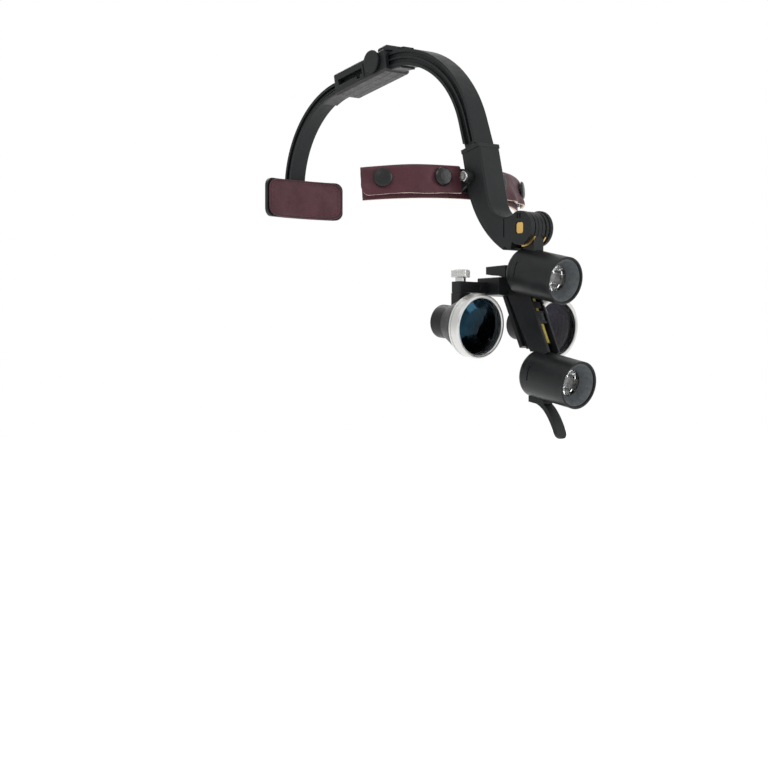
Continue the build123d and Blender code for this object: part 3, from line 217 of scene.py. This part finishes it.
def anodised(name, colour, rough, origin=None, axis=None):
    """Black anodised metal, with fine lathe lines if it has a turning axis."""
    mat = Mat(name, colour, rough, shine=0.17)
    edge = mat.soft_edges(0.0003)
    if axis is not None:
        mat.local(origin, axis)
    cloud = mat.noise(0.006, 3.0)
    body = mat.ramp(cloud, [(0.3, tint(colour, 0.85)), (0.7, tint(colour, 1.2))])
    mat.colour(mat.mix(mat.span(edge, 0.0, 0.6), body, tint(colour, 6.0)))
    mat.roughness(mat.span(mat.noise(0.002, 4.0), rough - 0.04, rough + 0.06, 0.3, 0.7))
    if axis is not None:
        mat.bump(mat.bands(0.00028, distortion=0.2), 0.0000035)
    mat.bump(mat.noise(0.00012, 2.0), 0.000006)
    return mat.m


def satin_metal(name, colour, rough, origin, axis, pitch=0.0003, depth=0.000006):
    """Turned bare metal: lines round its axis on the side and on the face."""
    mat = Mat(name, colour, rough, 1.0)
    edge = mat.soft_edges(0.00025)
    mat.local(origin, axis)
    streak = mat.noise(0.0008, 3.0, vector=mat.stretched((0.15, 0.15, 3.0)))
    body = mat.ramp(streak, [(0.3, tint(colour, 0.9)), (0.7, tint(colour, 1.06))])
    mat.colour(mat.mix(mat.span(edge, 0.0, 0.5), body, tint(colour, 1.2)))
    mat.roughness(mat.span(streak, rough - 0.05, rough + 0.08, 0.3, 0.7))
    mat.bump(mat.bands(pitch), depth)
    mat.bump(mat.bands(pitch, kind="RINGS"), depth)
    return mat.m


def leather(name, colour, rough=0.5):
    """Smooth finished leather: pebbled grain, fine creases and uneven dye."""
    mat = Mat(name, colour, rough, shine=0.18)
    mat.put("Sheen Weight", 0.05)
    mat.put("Sheen Roughness", 0.5)
    dye = mat.noise(0.011, 4.0, 0.6)
    body = mat.ramp(dye, [(0.28, tint(colour, 0.72)), (0.52, colour),
                          (0.75, tint(colour, 1.25))])
    pebble = mat.cells(0.00095)
    pits = mat.ramp(pebble, [(0.0, tint(colour, 1.15)), (0.75, tint(colour, 0.7))])
    mat.colour(mat.mix(mat.span(mat.noise(0.003), 0.0, 0.45, 0.3, 0.7), body, pits))
    mat.roughness(mat.span(dye, rough + 0.08, rough - 0.08, 0.3, 0.7))
    mat.bump(mat.span(pebble, 1.0, 0.0, 0.0, 0.9), 0.00006, 0.8)
    mat.bump(mat.noise(0.0045, 3.0, vector=mat.stretched((0.35, 0.35, 1.6))), 0.00018, 0.7)
    mat.bump(mat.noise(0.0003, 2.0), 0.00002)
    return mat.m


def raw_leather(name):
    """Cut edge and flesh side: pale, fibrous and dull."""
    mat = Mat(name, (0.52, 0.42, 0.34), 0.88)
    fibre = mat.noise(0.00035, 4.0, 0.7)
    mat.colour(mat.ramp(fibre, [(0.3, (0.34, 0.24, 0.20)), (0.55, (0.54, 0.43, 0.36)),
                                (0.8, (0.70, 0.61, 0.52))]))
    mat.bump(fibre, 0.00008)
    return mat.m


def clear_plastic(name):
    """Clear acrylic, very slightly uneven."""
    mat = Mat(name, (0.97, 0.985, 0.99), 0.02)
    mat.put("Transmission Weight", 1.0)
    mat.put("IOR", 1.49)
    mat.bump(mat.noise(0.003, 2.0), 0.00002)
    return mat.m


def coated_glass(name, reflection, middle):
    """Lens glass with an anti-reflection coating. Its reflection tint is full on the side towards
    the key light and faint on the far side: the hue is the coating's own, and the one-sided
    strength is a painted reflection.

    The tint's direction is fixed on the part, and middle is the centre of the lens.
    """
    mat = Mat(name, (0.20, 0.25, 0.29), 0.015, shine=0.12)
    mat.put("Transmission Weight", 1.0)
    mat.put("IOR", 1.6)
    # points to the side facing the key light, where the painted reflection is strongest
    towards = Vector((-0.75, 0.0, 0.45))
    fade = 0.013                        # half width of the change, in metres along towards
    at = towards.dot(middle)
    dot = mat.tree.nodes.new("ShaderNodeVectorMath")
    dot.operation = "DOT_PRODUCT"
    mat.join(mat.vector, dot.inputs[0])
    dot.inputs[1].default_value = towards
    across = mat.span(dot.outputs["Value"], 0.0, 1.0, at - fade, at + fade)
    faint = tint(reflection, 0.16)
    # painted reflection: the coating's tint at full strength towards the key light and faint away
    # from it
    painted_reflection_tint = mat.ramp(across, [(0.3, faint), (0.55, tint(reflection, 0.4)), (0.85, reflection)])
    mat.join(painted_reflection_tint, mat.shader.inputs["Specular Tint"])
    mat.bump(mat.noise(0.02, 1.0), 0.00001)
    return mat.m


def board_white(name):
    """White solder mask of a lamp board."""
    mat = Mat(name, (0.75, 0.74, 0.68), 0.4)
    blotch = mat.noise(0.0012, 3.0)
    mat.colour(mat.ramp(blotch, [(0.35, (0.62, 0.61, 0.55)), (0.65, (0.80, 0.79, 0.74))]))
    mat.bump(mat.cells(0.0006), 0.00002)
    return mat.m


def centre(node):
    """Middle of a node's box."""
    low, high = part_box(node)
    return (low + high) / 2


def lamp_axis(name):
    return (centre(name + "_lamp_bezel") - centre(name + "_lamp_rear_cap")).normalized()


def loupe_axis(side):
    return (centre("objective_ring_" + side) - centre("eyepiece_lens_" + side)).normalized()


def dress(node, material):
    """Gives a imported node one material."""
    mesh = nodes[node].data
    mesh.materials.clear()
    mesh.materials.append(material)


X = Vector((1, 0, 0))
Z = Vector((0, 0, 1))
BAR = (centre("height_wheel") - centre("height_screw")).normalized()
BAR = BAR if BAR.z > 0 else -BAR

shell = moulded_plastic("shell_black", (0.0092, 0.0104, 0.0108), 0.44)
strap_black = moulded_plastic("strap_black", (0.0080, 0.0091, 0.0095), 0.42)
cover_grey = moulded_plastic("cover_grey", (0.030, 0.0285, 0.031), 0.45, 0.0005, 0.00002)
knob_black = moulded_plastic("knob_black", (0.0075, 0.0082, 0.0085), 0.36)
for node in ("bracket_shell", "bracket_back_plate", "adjuster_housing", "adjuster_button",
             "rear_band", "forehead_band"):
    dress(node, shell)
for node in ("front_arch", "rear_arch"):
    dress(node, strap_black)
dress("adjuster_cover", cover_grey)
dress("pivot_knob", knob_black)
dress("flip_lever", strap_black)

bar_black = anodised("bar_black", (0.0075, 0.0080, 0.0088), 0.38)
for node in ("carrier_bar", "slide_plate", "pd_block", "pd_arm_right", "pd_arm_left",
             "loupe_carriage_right", "loupe_carriage_left"):
    dress(node, bar_black)
dress("carrier_arm",
      anodised("drum_black", (0.0072, 0.0078, 0.0082), 0.36, centre("pivot_axle"), X))
dress("height_wheel",
      anodised("wheel_black", (0.016, 0.017, 0.018), 0.3, centre("height_wheel"), BAR))
for name in ("upper", "lower"):
    axis = lamp_axis(name)
    mid = centre(name + "_lamp_rear_cap")
    skin = anodised(name + "_lamp_black", (0.0078, 0.0085, 0.0090), 0.35, mid, axis)
    for piece in ("housing", "rear_cap", "bezel"):
        dress(f"{name}_lamp_{piece}", skin)
    trap = Mat(name + "_trap_grey", (0.055, 0.062, 0.066), 0.6)
    trap.local(mid, axis)
    trap.colour(trap.ramp(trap.noise(0.0022, 3.0), [(0.3, (0.043, 0.049, 0.053)),
                                                    (0.7, (0.072, 0.080, 0.084))]))
    trap.bump(trap.bands(0.0007, kind="RINGS"), 0.00004)
    trap.bump(trap.noise(0.0002), 0.00002)
    dress(name + "_lamp_baffle", trap.m)
    dress(name + "_lamp_lens", clear_plastic(name + "_clear_acrylic"))
    dress(name + "_lamp_led_board", board_white(name + "_board_white"))

SILVER = (0.50, 0.50, 0.49)
TINTS = {"right": (0.05, 0.36, 0.60), "left": (0.34, 0.25, 0.40)}
for side in ("right", "left"):
    axis = loupe_axis(side)
    mid = centre("objective_ring_" + side)
    dress("objective_ring_" + side,
          satin_metal("ring_satin_" + side, SILVER, 0.32, mid, axis))
    dress("loupe_barrel_" + side,
          anodised("barrel_black_" + side, (0.0065, 0.0070, 0.0076), 0.42, mid, axis))
    coating = coated_glass("coated_glass_" + side, TINTS[side], mid)
    dress("objective_lens_" + side, coating)
    dress("eyepiece_lens_" + side, coating)
    dress("thumb_screw_" + side,
          satin_metal("thumb_satin_" + side, SILVER, 0.28, centre("thumb_screw_" + side), Z))

brass = satin_metal("brass_turned", (0.62, 0.40, 0.13), 0.3, centre("pivot_axle"), X)
for node in ("pivot_axle", "brass_washers", "knob_nut"):
    dress(node, brass)
dress("height_screw",
      satin_metal("brass_thread", (0.36, 0.29, 0.07), 0.36, centre("height_screw"), BAR,
                  pitch=0.0005, depth=0.00012))
dress("slide_nut", bar_black)
steel = satin_metal("screw_steel", (0.45, 0.445, 0.44), 0.3, centre("band_pivot_screws"), X)
for node in ("bar_screw", "pd_lock_screws", "band_pivot_screws", "rear_pivot_screw"):
    dress(node, steel)
black_screw = anodised("screw_black", (0.0085, 0.009, 0.0095), 0.34)
for node in ("cover_screws", "foot_screw"):
    dress(node, black_screw)
snap_mat = Mat("snap_black", (0.006, 0.0065, 0.0068), 0.3, shine=0.28)
snap_mat.put("Coat Weight", 0.05)
snap_mat.put("Coat Roughness", 0.15)
snap_mat.roughness(snap_mat.span(snap_mat.noise(0.0015, 4.0), 0.22, 0.4, 0.3, 0.7))
snap_mat.colour(snap_mat.ramp(snap_mat.noise(0.004, 3.0), [(0.3, (0.0036, 0.0039, 0.0041)),
                                                           (0.7, (0.0060, 0.0064, 0.0068))]))
snap_mat.bump(snap_mat.noise(0.0004), 0.00001)
for node in ("snap_caps", "rear_snap_caps"):
    dress(node, snap_mat.m)

burgundy_skin = leather("burgundy_leather", (0.050, 0.0145, 0.0205))
flesh = raw_leather("raw_leather")
dress("forehead_leather", burgundy_skin)
dress("rear_leather", burgundy_skin)

# ---------------------------------------------------------------- floor and light
floor_mat = Mat("floor_pale", (0.90, 0.90, 0.90), 0.7)
floor_mat.colour(floor_mat.ramp(floor_mat.noise(0.4, 2.0), [(0.3, (0.885, 0.885, 0.885)),
                                                            (0.7, (0.915, 0.915, 0.915))]))
FLOOR_HALF = 6.0
FLOOR_Z = -0.336
bm = bmesh.new()
bmesh.ops.create_grid(bm, x_segments=2, y_segments=2, size=FLOOR_HALF)
mesh = bpy.data.meshes.new("floor")
bm.to_mesh(mesh)
bm.free()
floor = bpy.data.objects.new("floor", mesh)
floor.location = (0, 0, FLOOR_Z)
mesh.materials.append(floor_mat.m)
bpy.context.scene.collection.objects.link(floor)
floor_mat.put("Emission Color", (1.0, 1.0, 1.0, 1.0))
floor_mat.put("Emission Strength", 0.30)

world = bpy.data.worlds.new("studio")
world.use_nodes = True
background = world.node_tree.nodes["Background"]
background.inputs["Color"].default_value = (1.0, 1.0, 1.0, 1.0)
background.inputs["Strength"].default_value = 1.0
bpy.context.scene.world = world


def softbox(name, place, aim, size, watts):
    """Rectangular area light at a place, turned to a point."""
    light = bpy.data.lights.new(name, "AREA")
    light.shape = "RECTANGLE"
    light.size, light.size_y = size
    light.energy = watts
    ob = bpy.data.objects.new(name, light)
    ob.location = place
    ob.rotation_euler = (Vector(aim) - Vector(place)).to_track_quat("-Z", "Y").to_euler()
    bpy.context.scene.collection.objects.link(ob)


AIM = (0, 0.03, -0.03)
softbox("key", (-1.0, -0.35, 0.95), AIM, (0.7, 0.7), 7)
softbox("front", (0.55, -1.2, 0.35), AIM, (0.6, 0.9), 6)
softbox("rim", (0.3, 1.2, 0.8), AIM, (0.9, 0.5), 6)


# ---------------------------------------------------------------- soft pieces
def smooth_faces(ob):
    for face in ob.data.polygons:
        face.use_smooth = True


def apply_modifiers(ob):
    """Puts the mesh as its modifiers leave it in place of the object's own."""
    graph = bpy.context.evaluated_depsgraph_get()
    mesh = bpy.data.meshes.new_from_object(ob.evaluated_get(graph))
    ob.modifiers.clear()
    ob.data = mesh
    smooth_faces(ob)


def add_mesh(name, points, faces, materials):
    mesh = bpy.data.meshes.new(name)
    mesh.from_pydata(points, [], faces)
    mesh.update()
    ob = bpy.data.objects.new(name, mesh)
    for material in materials:
        mesh.materials.append(material)
    bpy.context.scene.collection.objects.link(ob)
    return ob


def smooth(t):
    """Smooth step from 0 to 1 as t goes from 0 to 1."""
    t = min(1.0, max(0.0, t))
    return t * t * (3 - 2 * t)


MM = 0.001
low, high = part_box("forehead_leather")
PAD_R = 83.0 * MM                       # head-side face of the forehead pad
PAD_PITCH = radians(5.5)                # the pad leans back against the forehead
LEATHER = 1.5 * MM
BACK_R = PAD_R + LEATHER / 2            # middle of the back layer
FLAP_R = 86.7 * MM                      # middle of the front flap
OUTER_R = FLAP_R + 0.9 * MM             # outside of the front flap
PAD_END = asin(high.x / OUTER_R)        # half of the pad's arc, in radians
PAD_TOP = (high.z - (OUTER_R - PAD_R) * sin(PAD_PITCH)) / cos(PAD_PITCH)
PAD_LOW = (low.z + PAD_R * (1 - cos(PAD_END)) * sin(PAD_PITCH)) / cos(PAD_PITCH)
SNAPS = (-37.4, -14.6, 14.6, 37.4)      # angles of the snap caps, in degrees
SNAP_Z = 5.0 * MM
GATE = 10.0 * MM                        # half width of the opening behind the bracket
FLAP_LOW = -4.1                         # mean height of the flap's lower edge, in mm
FLAP_CORNER = 4.2                       # radius of the flap's lower corners, in mm
BEND = 1.9 * MM                         # radius of the fold over the band
SNAP_DENT = 6.2 * MM                    # reach of the dent round a snap


def flap_edge(side_angle):
    """Height of the flap's lower edge: wavy, dipping before its rounded end."""
    a = abs(side_angle)
    wave = 0.22 * sin(a * 11.0 + 0.8) + 0.07 * sin(a * 29.0)
    dip = -0.5 * smooth((a - PAD_END + 0.20) / 0.10) * (1 - smooth((a - PAD_END + 0.05) / 0.04))
    reach = (PAD_END - a) * FLAP_R / MM
    lift = 0.0
    if reach < FLAP_CORNER:
        lift = FLAP_CORNER - sqrt(max(0.0, FLAP_CORNER ** 2 - (FLAP_CORNER - reach) ** 2))
    return (FLAP_LOW + wave + dip + lift) * MM


def wrap_point(a, v):
    """Middle of the leather at arc angle a; v runs up the back, over the band and down the flap."""
    edge = flap_edge(a)
    crest = PAD_TOP - 0.75 * MM + 0.45 * MM * smooth(1 - abs(abs(a) - 0.46) / 0.3)
    up = crest - BEND - PAD_LOW
    over = pi * BEND * 0.92
    down = crest - BEND - edge
    s = v * (up + over + down)
    if s < up:
        r, z = BACK_R, PAD_LOW + s
    elif s < up + over:
        t = (s - up) / over * pi
        r = (BACK_R + FLAP_R) / 2 - cos(t) * (FLAP_R - BACK_R) / 2
        z = crest - BEND + sin(t) * BEND
    else:
        r, z = FLAP_R, crest - BEND - (s - up - over)
        free = smooth((SNAP_Z - z) / (8 * MM))
        r += (0.25 + 0.3 * sin(a * 23.0)) * MM * free
        if a > 0:
            r += (1.1 + 0.9 * sin(a * 31.0 + 0.5)) * MM * free * smooth((a - 0.24) / 0.2)
        for snap in SNAPS:
            d2 = ((a - radians(snap)) * FLAP_R) ** 2 + (z - SNAP_Z) ** 2
            r -= 0.28 * MM * exp(-d2 / SNAP_DENT ** 2)
        r += 0.22 * MM * noise.noise(Vector((a * 14.0, z * 260.0, 3.0)))
    return Vector((r * sin(a), PAD_R - r * cos(a), z))


def leather_wrap():
    """One strip folded over the band, with its fold cut away behind the bracket."""
    columns, rows = 181, 64
    points = []
    for i in range(columns):
        a = -PAD_END + 2 * PAD_END * i / (columns - 1)
        points += [wrap_point(a, j / (rows - 1)) for j in range(rows)]
    top = max(range(rows), key=lambda j: points[(columns // 4) * rows + j].z)
    faces = []
    for i in range(columns - 1):
        here, there = points[i * rows + top], points[(i + 1) * rows + top]
        middle = abs(here.x + there.x) / 2 < GATE
        for j in range(rows - 1):
            if middle and j >= top - 4:
                continue
            a, b = i * rows + j, (i + 1) * rows + j
            faces.append((a, b, b + 1, a + 1))
    ob = add_mesh("forehead_wrap", points, faces, [burgundy_skin, flesh])
    solid = ob.modifiers.new("thickness", "SOLIDIFY")
    solid.thickness = LEATHER
    solid.offset = 0.0
    solid.use_rim = True
    solid.material_offset_rim = 1
    apply_modifiers(ob)
    bm = bmesh.new()
    bm.from_mesh(ob.data)
    loose = [v for v in bm.verts if not v.link_faces]
    bmesh.ops.delete(bm, geom=loose, context="VERTS")
    bmesh.ops.recalc_face_normals(bm, faces=bm.faces)
    for face in bm.faces:
        c = face.calc_center_median()
        out = Vector((c.x, c.y - PAD_R, 0))
        on_flap = FLAP_R - 1.0 * MM < out.length and c.z < PAD_TOP - 3 * MM
        if on_flap and face.normal.dot(out.normalized()) < -0.4:
            face.material_index = 1
    bm.to_mesh(ob.data)
    bm.free()
    ob.data.transform(Matrix.Rotation(-PAD_PITCH, 4, "X"))
    return ob


wrap = leather_wrap()
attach(wrap, "forehead_pad")
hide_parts("forehead_leather")

low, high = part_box("rear_leather")
CUSHION_R = 97.5 * MM                   # carrier side of the rear cushion
CUSHION = 3.4 * MM                      # its thickness at the middle
RIM = 1.0 * MM                          # height of its rim above the carrier
REAR_Y = high.y - CUSHION_R
REAR_Z = (low.z + high.z) / 2
REAR_HALF = (high.x + 0.4 * MM, (high.z - low.z) / 2 + 0.4 * MM)
SQUARED_ACROSS, SQUARED_UP = 0.30, 0.42 # lower is squarer; 1 is an ellipse


def cushion_outline(count):
    """Points round the cushion's outline, as offsets across and up."""
    points = []
    for i in range(count):
        t = 2 * pi * (i + 0.5) / count
        c, v = cos(t), sin(t)
        points.append((REAR_HALF[0] * abs(c) ** SQUARED_ACROSS * (1 if c > 0 else -1),
                       REAR_HALF[1] * abs(v) ** SQUARED_UP * (1 if v > 0 else -1)))
    return points


def crown(k):
    """Height of the stuffed face at a share k of the way to the outline."""
    return CUSHION * (1 - k ** 7) ** 0.5 * (1 - 0.12 * k * k)


def on_cushion(across, up, off):
    """Point at an offset from the carrier's face, towards the head."""
    a = across / CUSHION_R
    r = CUSHION_R - off
    return Vector((r * sin(a), REAR_Y + r * cos(a), REAR_Z + up))


def tube(path, radius, sides, points, faces, closed=True):
    """Round cord along a path of points, added to a mesh; open ends are thinner and capped."""
    start = len(points)
    count = len(path)
    for i, p in enumerate(path):
        inside = closed or 0 < i < count - 1
        ahead = path[(i + 1) % count] - path[i - 1] if inside else path[-1] - path[0]
        along = ahead.normalized()
        side = along.cross(Vector((0, 1, 0))).normalized()
        over = along.cross(side)
        thin = radius if inside else radius * 0.35
        for k in range(sides):
            w = 2 * pi * k / sides
            points.append(p + side * (thin * cos(w)) + over * (thin * sin(w)))
    for i in range(count if closed else count - 1):
        for k in range(sides):
            a, b = start + i * sides, start + (i + 1) % count * sides
            n = (k + 1) % sides
            faces.append((a + k, a + n, b + n, b + k))
    if not closed:
        faces.append(tuple(start + k for k in reversed(range(sides))))
        faces.append(tuple(start + (count - 1) * sides + k for k in range(sides)))


def rear_cushion():
    """Stuffed leather pad: a crowned face, a flat back and a welt round the edge."""
    around, rings = 144, 18
    outline = cushion_outline(around)
    points, faces = [], []
    for layer in range(2):              # 0 is the crowned face and 1 the flat back
        base = len(points)
        points.append(on_cushion(0, 0, CUSHION if layer == 0 else 0.05 * MM))
        for j in range(1, rings + 1):
            k = (j / rings) ** 0.75
            for i, (x, z) in enumerate(outline):
                pucker = 0.10 * MM * sin(i * 2.4) * smooth((k - 0.78) / 0.15)
                lumps = 0.16 * MM * noise.noise(Vector((x * k * 130, z * k * 130, 7.0)))
                puff = crown(k) + (lumps - pucker)
                off = max(puff, RIM) if layer == 0 else 0.05 * MM + 0.9 * MM * k ** 24
                points.append(on_cushion(x * k, z * k, off))
        for i in range(around):
            n = (i + 1) % around
            tip = (base, base + 1 + i, base + 1 + n)
            faces.append(tip if layer == 0 else tip[::-1])
            for j in range(rings - 1):
                a, b = base + 1 + j * around, base + 1 + (j + 1) * around
                quad = (a + i, b + i, b + n, a + n)
                faces.append(quad if layer == 0 else quad[::-1])
    rim = 1 + (rings - 1) * around
    back = 1 + rings * around + rim
    for i in range(around):
        n = (i + 1) % around
        faces.append((rim + i, back + i, back + n, rim + n))
    ob = add_mesh("rear_cushion", points, faces, [burgundy_skin])
    smooth_faces(ob)
    return ob


def rear_welt():
    """Piped edge round the cushion."""
    points, faces = [], []
    path = [on_cushion(x, z, RIM) for x, z in cushion_outline(200)]
    tube(path, 0.55 * MM, 10, points, faces)
    ob = add_mesh("rear_welt", points, faces, [burgundy_skin])
    smooth_faces(ob)
    return ob


def evenly(path, pitch):
    """Stitches along a closed path: the start, middle and end of each one."""
    length = [0.0]
    for i in range(len(path)):
        length.append(length[-1] + (path[(i + 1) % len(path)] - path[i]).length)
    count = int(length[-1] / pitch)
    stitches = []
    for k in range(count):
        ends = []
        for part in (0.14, 0.5, 0.86):
            d = (k + part) / count * length[-1]
            i = max(j for j in range(len(path)) if length[j] <= d)
            f = (d - length[i]) / max(length[i + 1] - length[i], 1e-9)
            ends.append(path[i].lerp(path[(i + 1) % len(path)], f))
        stitches.append(ends)
    return stitches


def rear_stitches():
    """Separate stitches along the seam inside the welt."""
    points, faces = [], []
    k = 0.90                            # the seam runs at this share of the outline
    path = [on_cushion(x * k, z * k, crown(k) + 0.02 * MM) for x, z in cushion_outline(200)]
    for stitch in evenly(path, 3.0 * MM):
        tube(stitch, 0.22 * MM, 6, points, faces, closed=False)
    return add_mesh("rear_stitches", points, faces, [thread_mat.m])


thread_mat = Mat("waxed_thread", (0.035, 0.012, 0.015), 0.6, shine=0.3)
thread_mat.bump(thread_mat.noise(0.0003, 2.0), 0.00003)
thread_mat.colour(thread_mat.ramp(thread_mat.noise(0.0008), [(0.3, (0.028, 0.010, 0.012)),
                                                             (0.7, (0.048, 0.018, 0.022))]))
cushion = rear_cushion()
for ob in (cushion, rear_welt(), rear_stitches()):
    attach(ob, "rear_pad")
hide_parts("rear_leather")
